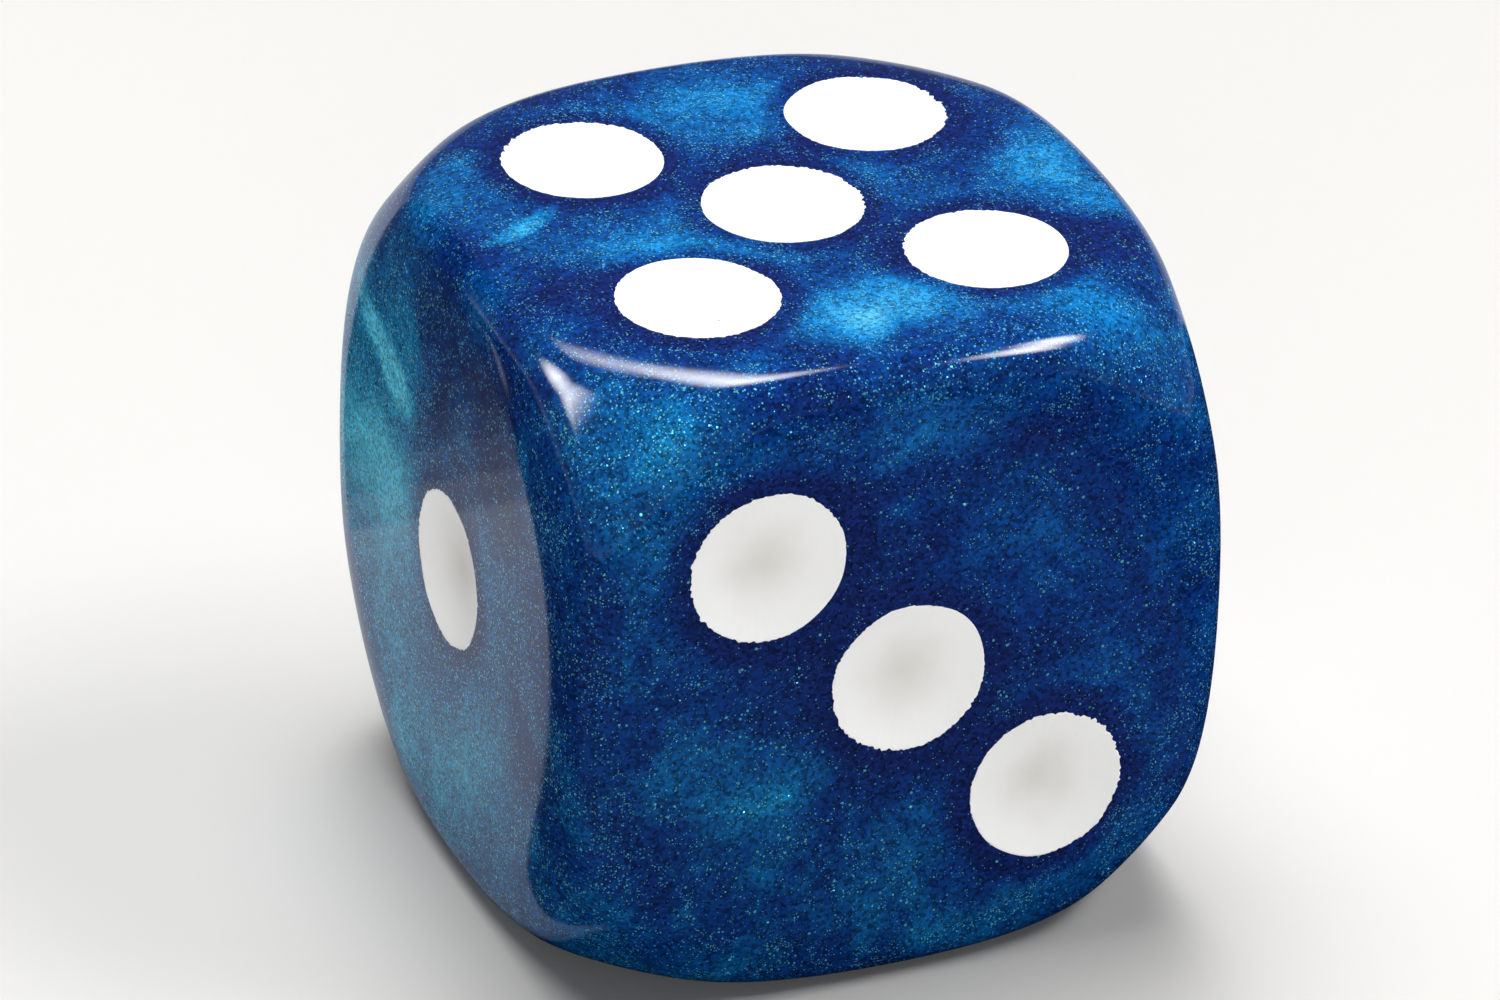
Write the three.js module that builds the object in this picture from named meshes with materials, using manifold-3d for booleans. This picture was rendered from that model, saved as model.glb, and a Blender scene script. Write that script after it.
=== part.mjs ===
// A pearl resin playing die: one cast block with rounded edges and corners, and in each of its
// twenty-one dished pips a separate film of white paint. Millimetres, +Z up, origin at the middle
// of the face that it stands on. The one looks along -X, the three along -Y and the five up.
import * as THREE from "three";
import { mergeVertices } from "three/addons/utils/BufferGeometryUtils.js";
import Module from "manifold-3d";

// Driving dimensions, mm
const SIDE = 16; // across two opposite faces
const CORNER_CUT = 2.43; // from the sharp cube's corner in to the ball that rounds it off
const EDGE_BLEND = 1.18; // two faces melt together where rays to them differ by less than this
const CORNER_BLEND = 1.16; // the same, for the faces and edges against the corner ball
const PIP_RADIUS = 1.845; // at the dish's rim
const DISH_DEPTH = 0.5;
const PIP_OFFSET = 3.5; // face centre to pip centre, both ways, on the faces two to five
const SIX_COLUMN = 3.15; // face centre to each column of three on the six
const SIX_WEB = 0.76; // flat left between the rims of neighbours in a column of three
const PAINT_THICKNESS = 0.15; // in the middle of a dish
const PAINT_EDGE = 0.02; // thickness of the film where it ends
const PAINT_INSET = 0.1; // from the dish's rim in to the film's edge
const PAINT_GAP = 0.02; // bond line between the film and the resin

// How finely the round shapes are cut into facets
const HALF_STEPS = 8; // from a face's middle out to its edge
const FIRST_STEP = 0.33; // share of that way which the first step covers
const STEP_CROWDING = 1.5; // over 1, the other steps crowd towards the edge
const PIP_SIDES = 20; // round a dish
const PIP_RINGS = 2; // from a dish's centre to the film's edge

const RESIN = new THREE.MeshStandardMaterial({ color: 0x12346e, roughness: 0.12, metalness: 0 });
const PAINT = new THREE.MeshStandardMaterial({ color: 0xeeeeec, roughness: 0.5, metalness: 0 });

const halfSide = SIDE / 2;
const ballRadius = Math.sqrt(3) * halfSide - CORNER_CUT;
const dishBall = (PIP_RADIUS ** 2 + DISH_DEPTH ** 2) / (2 * DISH_DEPTH);
const dishCentre = dishBall - DISH_DEPTH; // height of the dish's ball above the face
const sixPitch = 2 * PIP_RADIUS + SIX_WEB;

// Each face: its word, its outward normal, and the direction that is up when it is read.
const FACES = [
  { word: "one", out: [-1, 0, 0], up: [0, 0, 1] },
  { word: "two", out: [0, 0, -1], up: [0, 1, 0] },
  { word: "three", out: [0, -1, 0], up: [0, 0, 1] },
  { word: "four", out: [0, 1, 0], up: [0, 0, 1] },
  { word: "five", out: [0, 0, 1], up: [0, 1, 0] },
  { word: "six", out: [1, 0, 0], up: [0, 0, 1] },
];

const middle = [[0, 0]];
const fallingPair = [[-PIP_OFFSET, PIP_OFFSET], [PIP_OFFSET, -PIP_OFFSET]];
const risingPair = [[-PIP_OFFSET, -PIP_OFFSET], [PIP_OFFSET, PIP_OFFSET]];
const columnOfThree = (x) => [sixPitch, 0, -sixPitch].map((y) => [x, y]);
const SPOTS = {
  one: middle,
  two: fallingPair,
  three: [...fallingPair, ...middle],
  four: [...fallingPair, ...risingPair],
  five: [...fallingPair, ...risingPair, ...middle],
  six: [...columnOfThree(-SIX_COLUMN), ...columnOfThree(SIX_COLUMN)],
};

const wasm = await Module();
wasm.setup();

function toSolid(geometry) {
  const bare = geometry.clone();
  bare.deleteAttribute("normal");
  bare.deleteAttribute("uv");
  const merged = mergeVertices(bare, 1e-4);
  return new wasm.Manifold(
    new wasm.Mesh({
      numProp: 3,
      vertProperties: merged.attributes.position.array,
      triVerts: new Uint32Array(merged.index.array),
    }),
  );
}

function toGeometry(solid) {
  const mesh = solid.getMesh();
  const geometry = new THREE.BufferGeometry();
  geometry.setAttribute("position", new THREE.BufferAttribute(mesh.vertProperties, 3));
  geometry.setIndex(new THREE.BufferAttribute(mesh.triVerts, 1));
  geometry.computeVertexNormals();
  return geometry;
}

// The smaller of two lengths, rounded off where they differ by less than the blend.
function meltedLeast(a, b, blend) {
  const shared = Math.max(blend - Math.abs(a - b), 0);
  return Math.min(a, b) - shared ** 2 / (4 * blend);
}

// Distance from the die's centre to its surface along a unit vector: whichever comes first of
// the nearest face, the face next to it and the corner ball, melted into each other.
function reach(direction) {
  const parts = direction.toArray().map(Math.abs).sort((a, b) => b - a);
  const toFace = halfSide / parts[0];
  const toNextFace = halfSide / Math.max(parts[1], Number.EPSILON);
  const roundedEdge = meltedLeast(toFace, toNextFace, EDGE_BLEND);
  return meltedLeast(roundedEdge, ballRadius, CORNER_BLEND);
}

// Where an evenly spaced grid line at u, from -1 to 1, goes on the face.
function gridLine(u) {
  const step = Math.round(Math.abs(u) * HALF_STEPS);
  if (step === 0) return 0;
  const left = (HALF_STEPS - step) / (HALF_STEPS - 1);
  return Math.sign(u) * (1 - (1 - FIRST_STEP) * left ** STEP_CROWDING);
}

// A box whose grid lines crowd towards its edges, with every vertex then moved along its ray.
function blockGeometry() {
  const steps = 2 * HALF_STEPS;
  const block = new THREE.BoxGeometry(2, 2, 2, steps, steps, steps);
  const positions = block.attributes.position;
  const point = new THREE.Vector3();
  for (let i = 0; i < positions.count; i++) {
    point.fromBufferAttribute(positions, i);
    point.set(gridLine(point.x), gridLine(point.y), gridLine(point.z)).normalize();
    point.multiplyScalar(reach(point));
    positions.setXYZ(i, point.x, point.y, point.z);
  }
  return block;
}

// Heights here are above the face. The film's underside is the dish's ball less the gap, and both
// take their facets at the same angles, so the gap is even.
const filmBall = dishBall - PAINT_GAP;
const filmRadius = PIP_RADIUS - PAINT_INSET;
const filmAngle = Math.asin(filmRadius / filmBall);
const ringAngles = Array.from({ length: PIP_RINGS + 1 }, (_, i) => (filmAngle * i) / PIP_RINGS);

function ballPoint(ball, angle) {
  return new THREE.Vector2(ball * Math.sin(angle), dishCentre - ball * Math.cos(angle));
}

// What the dish is cut with: the ball's cap down to the dish's floor, running on past the face
// so that the rim is cut clean, and closed by a cone above it.
function dishCutter() {
  const rimAngle = Math.asin(PIP_RADIUS / dishBall);
  const overAngle = 2 * rimAngle - filmAngle;
  const angles = [...ringAngles, overAngle];
  const profile = angles.map((angle) => ballPoint(dishBall, angle));
  profile.push(new THREE.Vector2(0, DISH_DEPTH));
  return new THREE.LatheGeometry(profile, PIP_SIDES);
}

// The film: underside out from the axis, then the top side back to it. The top is a shallower cap.
function paintFilm() {
  const underside = ringAngles.map((angle) => ballPoint(filmBall, angle));
  const edgeHeight = underside[PIP_RINGS].y + PAINT_EDGE;
  const middleHeight = underside[0].y + PAINT_THICKNESS;
  const sag = edgeHeight - middleHeight;
  const topside = underside.map((under) => {
    const share = under.x / filmRadius;
    return new THREE.Vector2(under.x, middleHeight + sag * share ** 2);
  });
  return new THREE.LatheGeometry([...underside, ...topside.reverse()], PIP_SIDES);
}

// Moves what is built round +Y, with the face at height 0, to a spot on one of the faces.
function placeOnFace(face, [across, along]) {
  const out = new THREE.Vector3(...face.out);
  const up = new THREE.Vector3(...face.up);
  const right = new THREE.Vector3().crossVectors(up, out);
  const spot = out.clone().multiplyScalar(halfSide);
  spot.addScaledVector(right, across).addScaledVector(up, along);
  return new THREE.Matrix4().makeBasis(up, out, right).setPosition(spot);
}

const pips = FACES.flatMap((face) =>
  SPOTS[face.word].map((spot, i) => ({
    name: `${face.word}_face_pip_paint_${i + 1}`,
    place: placeOnFace(face, spot),
  })),
);

// The block before its dishes are cut. Films are wiped level with it, which tells only where a
// dish runs on to a rounded corner.
const wholeBlock = toSolid(blockGeometry());
const cutter = dishCutter();
const film = paintFilm();

const die = new THREE.Group();
die.position.z = halfSide;

function addPiece(name, solid, material) {
  const piece = new THREE.Mesh(toGeometry(solid), material.clone());
  piece.name = name;
  die.add(piece);
}

let dishedBlock = wholeBlock;
for (const pip of pips) {
  dishedBlock = dishedBlock.subtract(toSolid(cutter.clone().applyMatrix4(pip.place)));
  addPiece(pip.name, toSolid(film.clone().applyMatrix4(pip.place)).intersect(wholeBlock), PAINT);
}
addPiece("resin_block", dishedBlock, RESIN);

export default new THREE.Group().add(die);
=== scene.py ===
import math

import bpy
import numpy as np
from mathutils import Matrix, Vector
from mathutils.geometry import delaunay_2d_cdt


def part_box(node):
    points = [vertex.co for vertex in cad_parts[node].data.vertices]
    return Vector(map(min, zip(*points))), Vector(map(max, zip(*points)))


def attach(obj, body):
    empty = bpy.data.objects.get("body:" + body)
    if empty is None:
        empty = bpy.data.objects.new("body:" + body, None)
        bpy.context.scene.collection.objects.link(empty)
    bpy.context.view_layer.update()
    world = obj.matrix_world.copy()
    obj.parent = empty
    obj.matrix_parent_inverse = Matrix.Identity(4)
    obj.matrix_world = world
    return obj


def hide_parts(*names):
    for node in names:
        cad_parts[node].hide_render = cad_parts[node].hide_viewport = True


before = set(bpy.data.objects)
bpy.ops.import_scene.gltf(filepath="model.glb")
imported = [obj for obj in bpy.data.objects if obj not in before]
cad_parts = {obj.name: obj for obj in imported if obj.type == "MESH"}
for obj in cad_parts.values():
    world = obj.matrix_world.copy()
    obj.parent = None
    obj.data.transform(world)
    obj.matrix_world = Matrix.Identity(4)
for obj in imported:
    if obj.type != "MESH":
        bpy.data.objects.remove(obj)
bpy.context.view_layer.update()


# ---- Resin block ----------------------------------------------------------------------------
# One cube cast in navy polyester resin with pearl pigment and glitter stirred into it, then
# tumbled until the edges are round and the corners are worn back to a ball. A shallow round dish
# is cut for each pip, and its rim is softened when the die is polished.

MM = 0.001
block_low, block_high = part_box("resin_block")
block_centre = (block_low + block_high) / 2
half_side = (block_high.z - block_low.z) / 2 / MM  # the sizes from here on are in mm
corner_cut = 2.43  # from a sharp cube's corner in to the ball
edge_blend = 1.18
corner_blend = 1.16
ball_radius = math.sqrt(3) * half_side - corner_cut
pip_radius = 1.845
dish_depth = 0.5
rim_blend = 0.03

# Each film of pip paint in the frame tells where its dish is: across the film's thin way.
pip_names = sorted(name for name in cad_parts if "pip_paint" in name)
pips = {}
for name in pip_names:
    low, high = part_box(name)
    middle = ((low + high) / 2 - block_centre) / MM
    thin_way = min(range(3), key=lambda axis: high[axis] - low[axis])
    out = Vector((0, 0, 0))
    out[thin_way] = math.copysign(1, middle[thin_way])
    pips[name] = {"out": out, "spot": middle - out * middle.dot(out)}


def melted_least(a, b, blend):
    """The smaller of two lengths, rounded off where they differ by less than the blend."""
    shared = np.maximum(blend - np.abs(a - b), 0)
    return np.minimum(a, b) - shared**2 / (4 * blend)


def rounded(points):
    """Points on a sharp cube, moved along their rays to the rounded one."""
    length = np.linalg.norm(points, axis=1)
    parts = np.sort(np.abs(points), axis=1)
    to_face = length * half_side / parts[:, 2]
    to_next_face = length * half_side / np.maximum(parts[:, 1], 1e-9)
    reach = melted_least(melted_least(to_face, to_next_face, edge_blend), ball_radius, corner_blend)
    return points * (reach / length)[:, None]


def dish_height(radius):
    """Height of the block over a face's plane, this far from a pip's centre."""
    ball = (pip_radius**2 + dish_depth**2) / (2 * dish_depth)
    cap = ball - dish_depth - np.sqrt(ball**2 - np.minimum(radius, 0.99 * ball) ** 2)
    return melted_least(np.zeros_like(radius), cap, rim_blend)


def ring(radius, count):
    """Points on a circle round the middle."""
    turn = np.arange(count) * (2 * math.pi / count)
    return np.stack([radius * np.cos(turn), radius * np.sin(turn)], axis=1)


# One pattern of rings serves every dish: open in the hollow, close together over the rim.
ring_sides = 96
dish_rings = [ring(0.0, 1), ring(0.3, 16), ring(0.6, 32), ring(0.9, 48)]
dish_rings += [ring(r, ring_sides) for r in (1.2, 1.45, 1.62, 1.72)]
dish_rings += [ring(pip_radius + step, ring_sides) for step in np.linspace(-0.07, 0.07, 8)]
dish_rings += [ring(pip_radius + step, ring_sides) for step in (0.12, 0.2)]
ring_pattern = np.concatenate(dish_rings)
ring_reach = pip_radius + 0.28  # the face's own grid starts this far from a pip's centre

grid_steps = 40
grid_crowding = 1.35  # over 1, the grid's lines crowd towards the face's edges
from_edge = np.linspace(1, 0, grid_steps + 1) ** grid_crowding
half_grid = half_side * (1 - from_edge)
grid_lines = np.concatenate([-half_grid[:0:-1], half_grid])


def face_mesh(out, up):
    """Corners, triangles and distances to the nearest rim of one face of the block."""
    right = up.cross(out)
    spots = [
        np.array([pip["spot"].dot(right), pip["spot"].dot(up)])
        for pip in pips.values()
        if pip["out"].dot(out) > 0.5
    ]
    across, along = np.meshgrid(grid_lines, grid_lines)
    flat = np.stack([across.ravel(), along.ravel()], axis=1)
    for spot in spots:
        flat = flat[np.linalg.norm(flat - spot, axis=1) > ring_reach]
    flat = np.concatenate([flat] + [ring_pattern + spot for spot in spots])
    flat, _, triangles, *_ = delaunay_2d_cdt([Vector(p) for p in flat], [], [], 0, 1e-6)
    flat = np.array([p[:] for p in flat])

    radii = np.stack([np.linalg.norm(flat - spot, axis=1) for spot in spots]).min(axis=0)
    right, up, out = (np.array(direction) for direction in (right, up, out))
    cube = flat[:, :1] * right + flat[:, 1:] * up + half_side * out
    corners = rounded(cube) + dish_height(radii)[:, None] * out
    return corners, np.array(triangles), radii - pip_radius


face_ways = [
    (Vector((0, 0, 1)), Vector((0, 1, 0))),
    (Vector((0, 0, -1)), Vector((0, 1, 0))),
    (Vector((0, 1, 0)), Vector((0, 0, 1))),
    (Vector((0, -1, 0)), Vector((0, 0, 1))),
    (Vector((1, 0, 0)), Vector((0, 0, 1))),
    (Vector((-1, 0, 0)), Vector((0, 0, 1))),
]


def mesh_object(name, corners, faces):
    """A smooth-shaded object from corners in mm about the block's centre."""
    mesh = bpy.data.meshes.new(name)
    places = np.array(corners) * MM + np.array(block_centre)
    mesh.from_pydata(places.tolist(), [], [list(map(int, face)) for face in faces])
    mesh.shade_smooth()
    made = bpy.data.objects.new(name, mesh)
    bpy.context.scene.collection.objects.link(made)
    return made


same_place_digits = 5  # corners that agree to this many digits of a mm are one corner


def build_block():
    """Joins the six faces where their borders meet."""
    corners, triangles, rims = [], [], []
    count = 0
    for out, up in face_ways:
        face_corners, face_triangles, face_rims = face_mesh(out, up)
        corners.append(face_corners)
        triangles.append(face_triangles + count)
        rims.append(face_rims)
        count += len(face_corners)
    corners = np.concatenate(corners)
    keys = np.round(corners, same_place_digits)
    _, first, merged = np.unique(keys, axis=0, return_index=True, return_inverse=True)
    merged = merged.reshape(-1)
    triangles = merged[np.concatenate(triangles)]
    block = mesh_object("polished_resin_block", corners[first], triangles)
    from_rim = block.data.attributes.new("from_rim", "FLOAT", "POINT")
    from_rim.data.foreach_set("value", np.concatenate(rims)[first].astype(np.float32))
    return block


block = build_block()


def linear(hex_colour):
    """An sRGB hex colour as the linear RGBA that a shader takes."""
    parts = [int(hex_colour[i : i + 2], 16) / 255 for i in (1, 3, 5)]
    return [p / 12.92 if p <= 0.04045 else ((p + 0.055) / 1.055) ** 2.4 for p in parts] + [1.0]


def add_node(tree, kind, inputs=None, ramp=None, **settings):
    """Adds a node. An input is a value, a socket, or a node, which stands for its first output."""
    made = tree.nodes.new("ShaderNode" + kind)
    for name, value in settings.items():
        setattr(made, name, value)
    for socket, value in (inputs or {}).items():
        if isinstance(value, bpy.types.Node):
            value = value.outputs[0]
        if isinstance(value, bpy.types.NodeSocket):
            tree.links.new(value, made.inputs[socket])
        else:
            made.inputs[socket].default_value = value
    if ramp:
        stops = made.color_ramp.elements
        while len(stops) < len(ramp):
            stops.new(0.5)
        for stop, (place, colour) in zip(stops, ramp):
            stop.position = place
            stop.color = linear(colour)
    return made


def new_material(name):
    """An empty material, as (material, tree)."""
    material = bpy.data.materials.new(name)
    material.use_nodes = True
    material.node_tree.nodes.clear()
    return material, material.node_tree


# Where the pearl gathered when the resin was poured, in mm about the block's centre: the middle
# of each veil, its half sizes, its turn in degrees, and how much pearl it adds. Clear resin, with
# less pearl than the rest, counts below zero.
veils = [
    ((0.6, -4.4, 8), (3.2, 1.4, 2.2), (0, 0, 15), 0.44),
    ((3.9, -6.4, 7.4), (3.4, 1.5, 2.0), (0, 0, -8), 0.34),
    ((-3.4, -1.2, 8), (3.2, 1.3, 1.6), (0, 0, -32), 0.36),
    ((-6.0, 1.3, 8), (1.5, 0.3, 1.0), (0, 0, 24), 0.4),
    ((0.6, 4.8, 8), (2.6, 2.2, 1.6), (0, 0, 35), 0.4),
    ((2.4, 1.6, 8), (1.2, 2.6, 1.4), (0, 0, -40), 0.22),
    ((6.3, 0.2, 8), (1.5, 2.9, 2.2), (0, 0, -12), 0.46),
    ((-6.6, 3.6, 8), (1.7, 2.8, 1.4), (0, 0, 0), 0.3),
    ((-6.3, -7.2, 7.0), (1.2, 0.9, 1.3), (0, 0, 0), 0.3),
    ((-8, 4.6, 3.9), (1.0, 2.4, 0.65), (18, 0, 0), 0.6),
    ((-8, 5.2, 1.6), (2.6, 4.2, 5.6), (0, 0, 0), 0.55),
    ((-8, 0.5, -4.0), (2.4, 8.0, 7.0), (0, 0, 0), 0.34),
    ((-3.8, -8, -3.6), (4.8, 2.2, 4.2), (0, 0, 0), 0.05),
    ((1.0, -8, 2.0), (7.0, 1.8, 4.4), (0, 0, 0), -0.1),
    ((-1.0, -8, 5.2), (7.5, 1.6, 0.9), (0, -4, 0), -0.14),
    ((2.6, -8, -4.0), (1.8, 2.0, 2.6), (0, 30, 0), -0.2),
    ((6.0, -3.4, 8), (1.6, 1.2, 1.4), (0, 0, 0), -0.3),
    ((-6.2, -2.6, 8), (1.6, 1.4, 1.4), (0, 0, 0), -0.35),
    ((-8, -2.4, 4.6), (1.6, 2.0, 3.0), (0, 0, 0), -0.25),
    ((8, 1.5, 2.5), (1.8, 4.4, 2.0), (25, 0, 0), 0.4),
    ((8, -3.6, -3.2), (1.8, 2.2, 3.2), (-20, 0, 0), 0.25),
    ((2.5, 8, 1.5), (4.6, 1.8, 2.0), (0, 35, 0), 0.4),
    ((-4.0, 8, -3.6), (2.4, 1.8, 2.6), (0, 0, 0), 0.25),
]

# Glitter, as (spacing, flake radius, share of cells with a flake in clear resin, in thick pearl).
glitter = [(0.052, 0.018, 0.16, 1.0), (0.09, 0.026, 0.1, 0.9), (0.17, 0.036, 0.04, 0.5)]


# Pearl resin, cast and polished. Mica pigment hangs in it in clouds and drawn-out swirls, so it
# goes from indigo through navy to bright teal; glitter flakes of 0.04 to 0.07 mm flash where they
# lie square to a light; and the polished skin over it all is clear and sharp.
def pearl_resin():
    material, tree = new_material("pearl_resin_polished")
    place = add_node(tree, "TexCoord").outputs["Object"]
    scale = {0: place, 1: (1 / MM, 1 / MM, 1 / MM), 2: (0, 0, -half_side)}
    mm = add_node(tree, "VectorMath", scale, operation="MULTIPLY_ADD")

    # Slow currents 6 mm across bend everything that hangs in the resin, by about 1 mm at most.
    current = add_node(tree, "TexNoise", {"Vector": mm, "Scale": 1 / 6, "Detail": 3})
    swirl = {0: current.outputs["Color"], 1: (3.6, 3.6, 3.6), 2: (-1.8, -1.8, -1.8)}
    bend = add_node(tree, "VectorMath", swirl, operation="MULTIPLY_ADD")
    drift = add_node(tree, "VectorMath", {0: mm, 1: bend})
    cloud = add_node(tree, "TexNoise", {"Vector": drift, "Scale": 1 / 4, "Detail": 4})
    pearl = add_node(tree, "Math", {0: cloud, 1: 1.1, 2: -0.32}, operation="MULTIPLY_ADD")
    for middle, half_sizes, degrees, strength in veils:
        turn = [math.radians(angle) for angle in degrees]
        box = {"Vector": drift, "Location": middle, "Rotation": turn, "Scale": half_sizes}
        inside = add_node(tree, "Mapping", box, vector_type="TEXTURE")
        away = add_node(tree, "VectorMath", {0: inside}, operation="LENGTH").outputs["Value"]
        fade = {"Value": away, "From Min": 1.25, "From Max": 0.1}
        veil = add_node(tree, "MapRange", fade, interpolation_type="SMOOTHSTEP")
        pearl = add_node(tree, "Math", {0: veil, 1: strength, 2: pearl}, operation="MULTIPLY_ADD")

    # Wisps about 1 mm wide, where the stirring drew the pearl out.
    curl = {"Vector": drift, "Scale": 1 / 1.2, "Detail": 5, "Roughness": 0.62, "Distortion": 1.2}
    wisps = add_node(tree, "TexNoise", curl)
    pearl = add_node(tree, "Math", {0: wisps, 1: 0.5, 2: pearl}, operation="MULTIPLY_ADD")
    pearl = add_node(tree, "Math", {0: pearl, 1: -0.25}, operation="ADD")

    # Round each dish the resin is darker, in a ragged ring that fades out within about 1 mm: painted
    # shade, for the shadow the opaque paint casts into the clear resin.
    rim = add_node(tree, "Attribute", attribute_name="from_rim").outputs["Fac"]
    ragged = add_node(tree, "Math", {0: wisps, 1: -1.2, 2: rim}, operation="MULTIPLY_ADD")
    near_rim = {"Value": ragged, "From Min": 0.25, "From Max": -0.45}
    # Painted shade round each pip, taken off the pearl.
    painted_rim_shade = add_node(tree, "MapRange", near_rim, interpolation_type="SMOOTHSTEP")
    pearl = add_node(tree, "Math", {0: painted_rim_shade, 1: -0.3, 2: pearl}, operation="MULTIPLY_ADD")

    blues = [(0.0, "#0A1D58"), (0.2, "#032B6C"), (0.38, "#054687"), (0.55, "#0A69A8")]
    blues += [(0.75, "#2585BF"), (1.0, "#5FB9E2")]
    teals = [(0.0, "#081C50"), (0.22, "#042A64"), (0.45, "#065284"), (0.7, "#0B80A8")]
    teals += [(1.0, "#46BAD8")]
    blue = add_node(tree, "ValToRGB", {"Fac": pearl}, ramp=blues).outputs["Color"]
    teal = add_node(tree, "ValToRGB", {"Fac": pearl}, ramp=teals).outputs["Color"]

    # The pearl is greener towards the lower left and bluer towards the upper right.
    fall = add_node(tree, "VectorMath", {0: drift, 1: (-0.6, 0.1, -0.75)}, operation="DOT_PRODUCT")
    low_left = {"Value": fall.outputs["Value"], "From Min": -4, "From Max": 5}
    greener = add_node(tree, "MapRange", low_left)
    resin = add_node(tree, "Mix", {0: greener, 6: blue, 7: teal}, data_type="RGBA").outputs[2]

    # Mica platelets are 0.01 to 0.05 mm; these are drawn 0.075 mm across so that they show.
    mica = add_node(tree, "TexVoronoi", {"Vector": mm, "Scale": 1 / 0.075}).outputs["Color"]
    shade = add_node(tree, "SeparateColor", {0: mica})
    lift = add_node(tree, "MapRange", {"Value": shade, "To Min": 0.42, "To Max": 1.62})
    resin = add_node(tree, "VectorMath", {0: resin, "Scale": lift}, operation="SCALE")

    # The glitter gathers in heaps about 1 mm across, and each flake has its own tilt. Its pale cyan
    # is the glitter's own colour; how bright each flake shows in that colour is drawn at random, as
    # painted glint.
    heaps = add_node(tree, "TexNoise", {"Vector": drift, "Scale": 1 / 0.9, "Detail": 3})
    gathered = add_node(tree, "Math", {0: heaps, 1: 2.6, 2: pearl}, operation="MULTIPLY_ADD")
    flakes = None
    for spacing, radius, in_clear, in_pearl in glitter:
        cell = add_node(tree, "TexVoronoi", {"Vector": mm, "Scale": 1 / spacing})
        chance = add_node(tree, "SeparateColor", {0: cell.outputs["Color"]})
        amount = {"Value": gathered, "From Min": 1.3, "From Max": 2.2}
        share = add_node(tree, "MapRange", {**amount, "To Min": in_clear, "To Max": in_pearl})
        chosen = add_node(tree, "Math", {0: chance, 1: share}, operation="LESS_THAN")
        disc = add_node(tree, "Math", {0: cell, 1: radius / spacing}, operation="LESS_THAN")
        flake = add_node(tree, "Math", {0: chosen, 1: disc}, operation="MULTIPLY")
        # Each flake's random brightness, laid into its colour: painted glint.
        painted_glint = add_node(tree, "Math", {0: chance.outputs[1], 1: 2.6}, operation="POWER")
        flake = add_node(tree, "Math", {0: flake, 1: painted_glint}, operation="MULTIPLY")
        any_way = {0: cell.outputs["Color"], 1: (0.5, 0.5, 0.5)}
        lean = add_node(tree, "VectorMath", any_way, operation="SUBTRACT")
        tilt = add_node(tree, "VectorMath", {0: lean, "Scale": flake}, operation="SCALE")
        if flakes:
            flake = add_node(tree, "Math", {0: flakes, 1: flake}, operation="MAXIMUM")
            tilt = add_node(tree, "VectorMath", {0: tilts, 1: tilt})
        flakes, tilts = flake, tilt
    colours = {0: flakes, 6: resin, 7: linear("#6FE0F0")}
    colour = add_node(tree, "Mix", colours, data_type="RGBA").outputs[2]
    smooth = add_node(tree, "NewGeometry").outputs["Normal"]
    leaning = {0: tilts, 1: (1.3, 1.3, 1.3), 2: smooth}
    tilted = add_node(tree, "VectorMath", leaning, operation="MULTIPLY_ADD")
    normal = add_node(tree, "VectorMath", {0: tilted}, operation="NORMALIZE")
    metal = add_node(tree, "Math", {0: flakes, 1: 0.6}, operation="MULTIPLY")
    gloss = add_node(tree, "MapRange", {"Value": flakes, "To Min": 0.55, "To Max": 0.3})
    finish = {
        "Base Color": colour,
        "Metallic": metal,
        "Roughness": gloss,
        "Normal": normal,
        "Specular IOR Level": 0.0,
        "Coat Weight": 1.0,
        "Coat Roughness": 0.09,
        "Coat IOR": 1.56,
    }
    shader = add_node(tree, "BsdfPrincipled", finish)
    add_node(tree, "OutputMaterial", {"Surface": shader})
    return material


block.data.materials.append(pearl_resin())
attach(block, "root")
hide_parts("resin_block")


# ---- Pip paint ------------------------------------------------------------------------------
# Twenty-one films of thick white paint. Each is flooded into its dish and wiped level, so it
# draws down into the hollow as it dries and leaves a rim that is a little ragged.

film_middle = 0.12  # thickness in the middle of the dish, mm
film_edge = 0.012
film_bond = 0.002  # how far the paint's underside is drawn off the dish, so that they don't flicker
film_lap = 0.012  # how far the paint laps past the dish on to the rim
film_waves = 90
broad_waves = 9  # waves below this bend the outline, and the rest fray it
film_sides = 192
film_shares = (0.0, 0.2, 0.4, 0.55, 0.7, 0.82, 0.9, 0.95, 0.98, 1.0)


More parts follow.
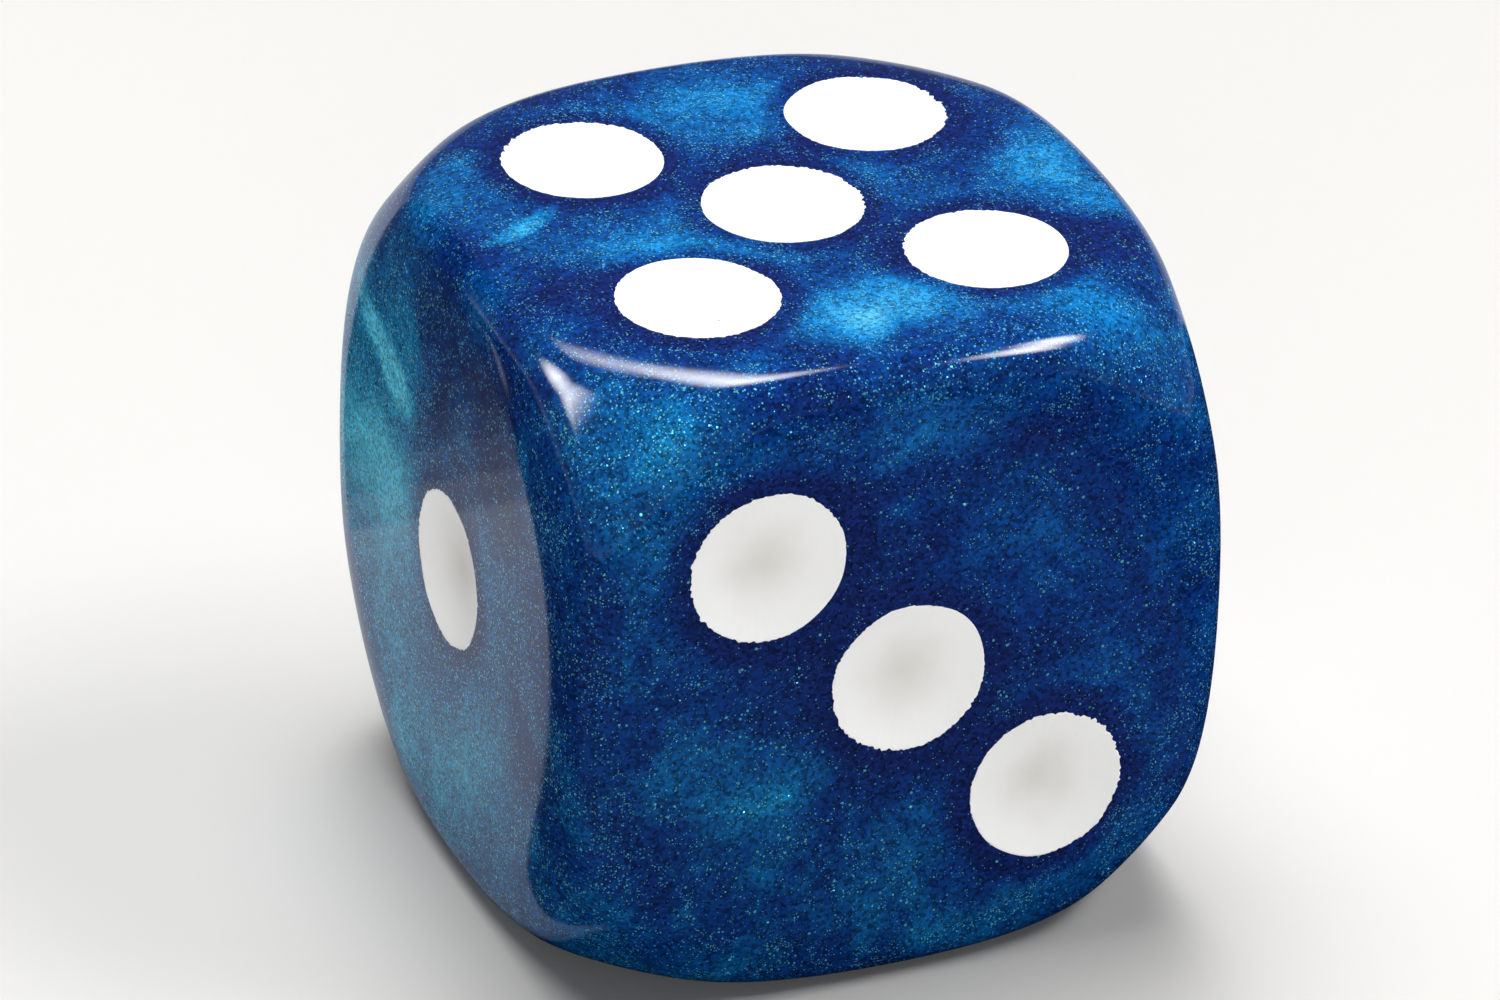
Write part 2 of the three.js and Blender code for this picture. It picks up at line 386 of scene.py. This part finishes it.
def build_film(name, index):
    """A closed lens that follows its dish, with a ragged outline."""
    rng = np.random.default_rng(index)
    turn = np.arange(film_sides) * (2 * math.pi / film_sides)
    outline = np.full(film_sides, pip_radius + film_lap)
    ragged = 0.5 + 0.5 * np.cos(turn + rng.uniform(0, 2 * math.pi)) ** 3
    for wave in range(2, film_waves):
        size = 0.005 if wave < broad_waves else 0.0036 * ragged
        outline += size * rng.normal() * np.cos(wave * turn + rng.uniform(0, 2 * math.pi))
    top, under = [], []
    for share in film_shares[1:]:
        radius = outline * share
        thick = film_edge + (film_middle - film_edge) * (1 - share**2)
        floor = dish_height(radius)
        x, y = radius * np.cos(turn), radius * np.sin(turn)
        top.append(np.stack([x, y, floor + thick], axis=1))
        under.append(np.stack([x, y, floor + film_bond], axis=1))
    count = film_sides
    rings = top + under[::-1]
    deepest = dish_height(np.zeros(1))[0]
    middles = [[[0, 0, deepest + film_middle]], [[0, 0, deepest + film_bond]]]
    corners = np.concatenate(rings + middles)
    top_middle = len(corners) - 2
    under_middle = len(corners) - 1
    faces = []
    for step in range(count):
        after = (step + 1) % count
        faces.append((top_middle, step, after))
        last = (len(rings) - 1) * count
        faces.append((under_middle, last + after, last + step))
        for row in range(len(rings) - 1):
            a, b = row * count, (row + 1) * count
            faces.append((a + step, b + step, b + after, a + after))
    out = pips[name]["out"]
    up = Vector((0, 1, 0)) if abs(out.z) > 0.5 else Vector((0, 0, 1))
    right = up.cross(out)
    turned = (
        corners[:, :1] * np.array(right)
        + corners[:, 1:2] * np.array(up)
        + (corners[:, 2:] + half_side) * np.array(out)
        + np.array(pips[name]["spot"])
    )
    film = mesh_object(name.replace("pip_paint", "paint_film"), turned, faces)
    from_middle = film.data.attributes.new("from_middle", "FLOAT", "POINT")
    from_middle.data.foreach_set("value", np.linalg.norm(corners[:, :2], axis=1).astype(np.float32))
    return film


# Enamel paint, air dried: white, satin, with a fine orange peel and the odd speck of dust. The middle
# of each pip is coloured a little greyer than its border: painted shade of the hollow dish.
def pip_enamel():
    material, tree = new_material("white_enamel_air_dried")
    place = add_node(tree, "TexCoord").outputs["Object"]
    mm = add_node(tree, "VectorMath", {0: place, "Scale": 1 / MM}, operation="SCALE")
    radius = add_node(tree, "Attribute", attribute_name="from_middle").outputs["Fac"]
    pull = add_node(tree, "TexNoise", {"Vector": mm, "Scale": 1 / 1.1, "Detail": 2})
    wavy = add_node(tree, "Math", {0: pull, 1: 0.9, 2: radius}, operation="MULTIPLY_ADD")
    out_of_painted_shade = {"Value": wavy, "From Min": 0.2, "From Max": 2.0}
    cover = add_node(tree, "MapRange", out_of_painted_shade, interpolation_type="SMOOTHSTEP")
    # Grey in the middle to white at the border: painted shade of the dish's hollow.
    whites_with_painted_shade = [(0.0, "#E0DED9"), (0.5, "#ECEBE8"), (1.0, "#F6F6F6")]
    white = add_node(tree, "ValToRGB", {"Fac": cover}, ramp=whites_with_painted_shade).outputs["Color"]

    # Dust specks up to 0.08 mm across, about one to every two pips.
    cell = add_node(tree, "TexVoronoi", {"Vector": mm, "Scale": 1 / 0.8})
    chance = add_node(tree, "SeparateColor", {0: cell.outputs["Color"]})
    sizes = {"Value": chance, "From Min": 0.45, "From Max": 1.0, "To Max": 0.05}
    size = add_node(tree, "MapRange", sizes)
    speck = add_node(tree, "Math", {0: cell, 1: size}, operation="LESS_THAN")
    faint = add_node(tree, "Math", {0: speck, 1: 0.7}, operation="MULTIPLY")
    colours = {0: faint, 6: white, 7: linear("#5B5A55")}
    colour = add_node(tree, "Mix", colours, data_type="RGBA").outputs[2]

    # Orange peel 0.15 mm from bump to bump, a few microns high.
    peel = add_node(tree, "TexNoise", {"Vector": mm, "Scale": 1 / 0.15, "Detail": 2})
    bump = add_node(tree, "Bump", {"Height": peel, "Distance": 0.004 * MM, "Strength": 0.6})
    finish = {"Base Color": colour, "Roughness": 0.42, "Normal": bump, "Specular IOR Level": 0.45}
    shader = add_node(tree, "BsdfPrincipled", finish)
    add_node(tree, "OutputMaterial", {"Surface": shader})
    return material


enamel = pip_enamel()
for index, name in enumerate(pip_names):
    film = build_film(name, index)
    film.data.materials.append(enamel)
    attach(film, "root")
    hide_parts(name)


# ---- Table, light and camera ----------------------------------------------------------------
# A white table that runs on past the view, a large soft light overhead and a smaller one in
# front, small lamps for the highlights along the top edges, cards for the polish to mirror, and
# a long lens a little above the die.

table_mesh = bpy.data.meshes.new("white_table")
table_half = 3.0
table_corners = [(x * table_half, y * table_half, 0) for x, y in ((-1, -1), (1, -1), (1, 1), (-1, 1))]
table_mesh.from_pydata(table_corners, [], [(0, 1, 2, 3)])
table = bpy.data.objects.new("white_table", table_mesh)
bpy.context.scene.collection.objects.link(table)

# Matt white card, which keeps the floor plain and even. It is greyer where the die's polish
# mirrors it, so that the mirrored floor doesn't wash out the resin.
table_material, tree = new_material("white_card_matt")
card = {"Base Color": linear("#C7C6C4"), "Roughness": 0.9, "Specular IOR Level": 0.0}
lit_card = add_node(tree, "BsdfPrincipled", card)
dim_card = add_node(tree, "BsdfPrincipled", {**card, "Base Color": linear("#9B9EA3")})
in_reflection = add_node(tree, "LightPath").outputs["Is Glossy Ray"]
seen_card = add_node(tree, "MixShader", {0: in_reflection, 1: lit_card, 2: dim_card})
add_node(tree, "OutputMaterial", {"Surface": seen_card})
table.data.materials.append(table_material)


def direction(turn, rise):
    """The way from the die towards this turn and rise, in degrees."""
    turn, rise = math.radians(turn), math.radians(rise)
    level_part = math.cos(rise)
    return Vector((math.sin(turn) * level_part, -math.cos(turn) * level_part, math.sin(rise)))


def soft_light(name, turn, rise, size, power, spread=180, away=0.6):
    """A round lamp this far from the die, facing it. Turn runs from the front towards +X."""
    data = bpy.data.lights.new(name, "AREA")
    data.shape = "DISK"
    data.size = size
    data.energy = power
    data.spread = math.radians(spread)
    light = bpy.data.objects.new(name, data)
    way = direction(turn, rise)
    light.location = block_centre + way * away
    light.rotation_euler = way.to_track_quat("Z", "Y").to_euler()
    bpy.context.scene.collection.objects.link(light)
    return light


# The two large lights do the lighting and don't show in the polish; the small ones, each bright
# in the middle and faint at its rim, draw the highlights along the top edges. The two on the left
# light only what is glossy.
overhead = soft_light("overhead_softbox", 180, 74, 4.0, 224, away=4.8)
front_fill = soft_light("front_fill", -25, 12, 0.4, 1.5)
overhead.visible_glossy = False
front_fill.visible_glossy = False
soft_light("rear_glow", 164, 69, 0.3, 0.066, 24)
soft_light("rear_glow_faint", -168, 62, 0.24, 0.012, 20)
soft_light("right_glow", 60, 50, 0.24, 0.035, 20)
soft_light("right_glow_far", 80, 50, 0.24, 0.035, 20)
left_glow = soft_light("left_glow", -112, 36, 0.3, 0.062, 22)
left_glow_near = soft_light("left_glow_near", -95, 36, 0.24, 0.03, 22)
left_glow.visible_diffuse = False
left_glow_near.visible_diffuse = False


def reflection_card(name, colour, corners, cover=1.0):
    """A card that only reflections see, to set how much of the table a polished face shows."""
    material, tree = new_material(name)
    card = {"Base Color": linear(colour), "Roughness": 0.9, "Specular IOR Level": 0.0}
    matt = add_node(tree, "BsdfPrincipled", card)
    gauze = add_node(tree, "MixShader", {0: cover, 1: add_node(tree, "BsdfTransparent"), 2: matt})
    add_node(tree, "OutputMaterial", {"Surface": gauze})
    mesh = bpy.data.meshes.new(name)
    mesh.from_pydata([Vector(corner) * MM for corner in corners], [], [range(len(corners))])
    mesh.materials.append(material)
    made = bpy.data.objects.new(name, mesh)
    made.visible_camera = False
    made.visible_diffuse = False
    made.visible_shadow = False
    bpy.context.scene.collection.objects.link(made)


# Outlines of the cards on the table, in mm: one under the die, two that show the front face grey
# close by on the left and black beyond, and one that leaves the left face a strip of pale table.
foot = [(-9, -10), (14, -10), (14, 7.5), (-7.3, 7.5), (-7.3, -6.8)]
near = [(-300, -9), (13, -9), (16, -48), (-17, -80), (-300, -90)]
far = [(-300, -84), (-17, -80), (16, -48), (13, -12), (13, 14), (300, 120)]
far += [(300, -500), (-300, -500)]
side = [(-7.3, -6.8), (-15.3, 11), (-17.5, 17), (-30, 27), (-50, 80), (-300, 80)]
side += [(-300, -9), (-7, -9)]
black, grey = "#101116", "#303136"
reflection_card("black_foot_card", black, [(x, y, 0.05) for x, y in foot])
reflection_card("grey_front_card", grey, [(x, y, 0.3) for x, y in near])
reflection_card("black_front_card", black, [(x, y, 0.4) for x, y in far])
reflection_card("black_side_card", black, [(x, y, 0.5) for x, y in side])

# Behind the die stand gauzes, each a little higher than the last, so that the left face's view of
# the table fades out upwards.
for step in range(6):
    low, back = 0.9 * step, 15.5 + 0.1 * step
    gauze = [(-20, back, low), (-10, back, low), (-10, back, 30), (-20, back, 30)]
    reflection_card("black_gauze_%d" % step, black, gauze, cover=0.4)

# The room: pale behind the table, a soft fill on matt things, and nearly dark in the polish.
world = bpy.data.worlds.new("pale_studio")
bpy.context.scene.world = world
world.use_nodes = True
tree = world.node_tree
tree.nodes.clear()
pale = linear("#F1F1F0")
dark_room = add_node(tree, "Background", {"Color": pale, "Strength": 0.08})
soft_fill = add_node(tree, "Background", {"Color": pale, "Strength": 0.1})
backdrop = add_node(tree, "Background", {"Color": pale, "Strength": 1.0})
ray = add_node(tree, "LightPath")
unseen = add_node(tree, "MixShader", {0: ray.outputs["Is Diffuse Ray"], 1: dark_room, 2: soft_fill})
mixed = add_node(tree, "MixShader", {0: ray.outputs["Is Camera Ray"], 1: unseen, 2: backdrop})
add_node(tree, "OutputWorld", {"Surface": mixed})

camera_turn = -23.17
camera_rise = 29.53
camera_roll = 1.81
camera_away = 0.2232
aim = block_centre + Vector((-0.00044, 0.00032, 0.00021))
way = direction(camera_turn, camera_rise)
camera_data = bpy.data.cameras.new("camera")
camera_data.sensor_width = 36
camera_data.lens = 232.5
camera_data.clip_start = 0.01
camera = bpy.data.objects.new("camera", camera_data)
level = way.to_track_quat("Z", "Y").to_matrix().to_4x4()
rolled = level @ Matrix.Rotation(math.radians(camera_roll), 4, "Z")
camera.matrix_world = Matrix.Translation(aim + way * camera_away) @ rolled
bpy.context.scene.collection.objects.link(camera)
bpy.context.scene.camera = camera
bpy.context.scene.view_settings.view_transform = "Standard"
